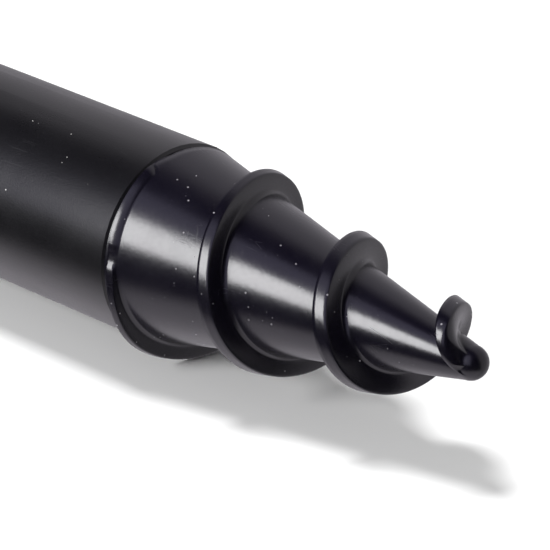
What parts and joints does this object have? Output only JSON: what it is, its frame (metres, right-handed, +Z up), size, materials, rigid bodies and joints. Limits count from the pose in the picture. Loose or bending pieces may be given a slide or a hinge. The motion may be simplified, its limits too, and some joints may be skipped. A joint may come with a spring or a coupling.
{
  "type": "telescopic screw-point ground stake",
  "caption": "Black telescopic ground stake with a moulded screw point, lock collar with thumb screw, threaded head socket and a sliding cross bar.",
  "frame": {"origin": "centre of the rod-rest socket's mouth, on the stake's axis", "axes": "+X along the stake from the head towards the screw point, +Y along the cross bar away from the thumb screw, +Z up as the stake lies on the ground"},
  "size_m": [0.295, 0.104, 0.022],
  "materials": {
    "black_anodised_tube": "satin black anodised",
    "moulded_point": "glossy moulded black",
    "satin_inner_tube": "satin silver anodised",
    "black_anodised_head": "satin black anodised, fluted",
    "black_anodised_collar": "satin black anodised",
    "bright_steel": "bright turned steel",
    "black_steel": "blackened steel",
    "insert_brass": "turned",
    "knob_plastic": "fine textured black",
    "cap_plastic": "polished black",
    "white_bearing_plastic": "natural nylon",
    "black_rubber": "matt"
  },
  "bodies": {
    "lower_stake": {"outer_tube": "black_anodised_tube", "auger_point": "moulded_point", "point_seal_ring": "black_rubber", "point_rivets": "black_steel", "lock_collar": "black_anodised_collar", "collar_screws": "black_steel", "collar_liner": "white_bearing_plastic", "collar_wiper": "black_rubber"},
    "brake": {"brake_pad": "white_bearing_plastic"},
    "thumb_screw": {"thumb_screw_stud": "bright_steel", "thumb_screw_knob": "knob_plastic", "thumb_screw_cap": "cap_plastic"},
    "guide": {"guide_bush": "white_bearing_plastic"},
    "upper_stake": {"inner_tube": "satin_inner_tube", "tube_end_plug": "bright_steel", "bush_clip": "bright_steel", "plug_pin": "black_steel", "top_head": "black_anodised_head", "head_pin": "black_steel", "head_bumper": "black_rubber", "thread_insert": "insert_brass", "bar_plunger": "black_steel"},
    "cross_bar": {"tommy_bar": "bright_steel", "bar_knob_left": "knob_plastic", "bar_knob_right": "knob_plastic", "bar_ring_left": "black_rubber", "bar_ring_right": "black_rubber"}
  },
  "joints": [
    {"name": "tube_extension", "type": "slide", "parent": "lower_stake", "child": "guide", "axis": [-1, 0, 0], "range_m": [0, 0.11]},
    {"name": "tube_turn", "type": "hinge", "parent": "guide", "child": "upper_stake", "pos_m": [0.1963, 0, 0], "axis": [1, 0, 0], "continuous": true},
    {"name": "bar_slide", "type": "slide", "parent": "upper_stake", "child": "cross_bar", "axis": [0, 1, 0], "range_m": [-0.0285, 0.0285]},
    {"name": "brake_lift", "type": "slide", "parent": "lower_stake", "child": "brake", "axis": [0, -1, 0], "range_m": [0, 0.0015]},
    {"name": "thumb_screw_turn", "type": "hinge", "parent": "brake", "child": "thumb_screw", "pos_m": [0.0415, -0.015, 0], "axis": [0, -1, 0], "range_deg": [0, 540]}
  ],
  "couplings": [
    {"joint": "brake_lift", "follows": "thumb_screw_turn", "m_per_rad": 0.00015915}
  ]
}
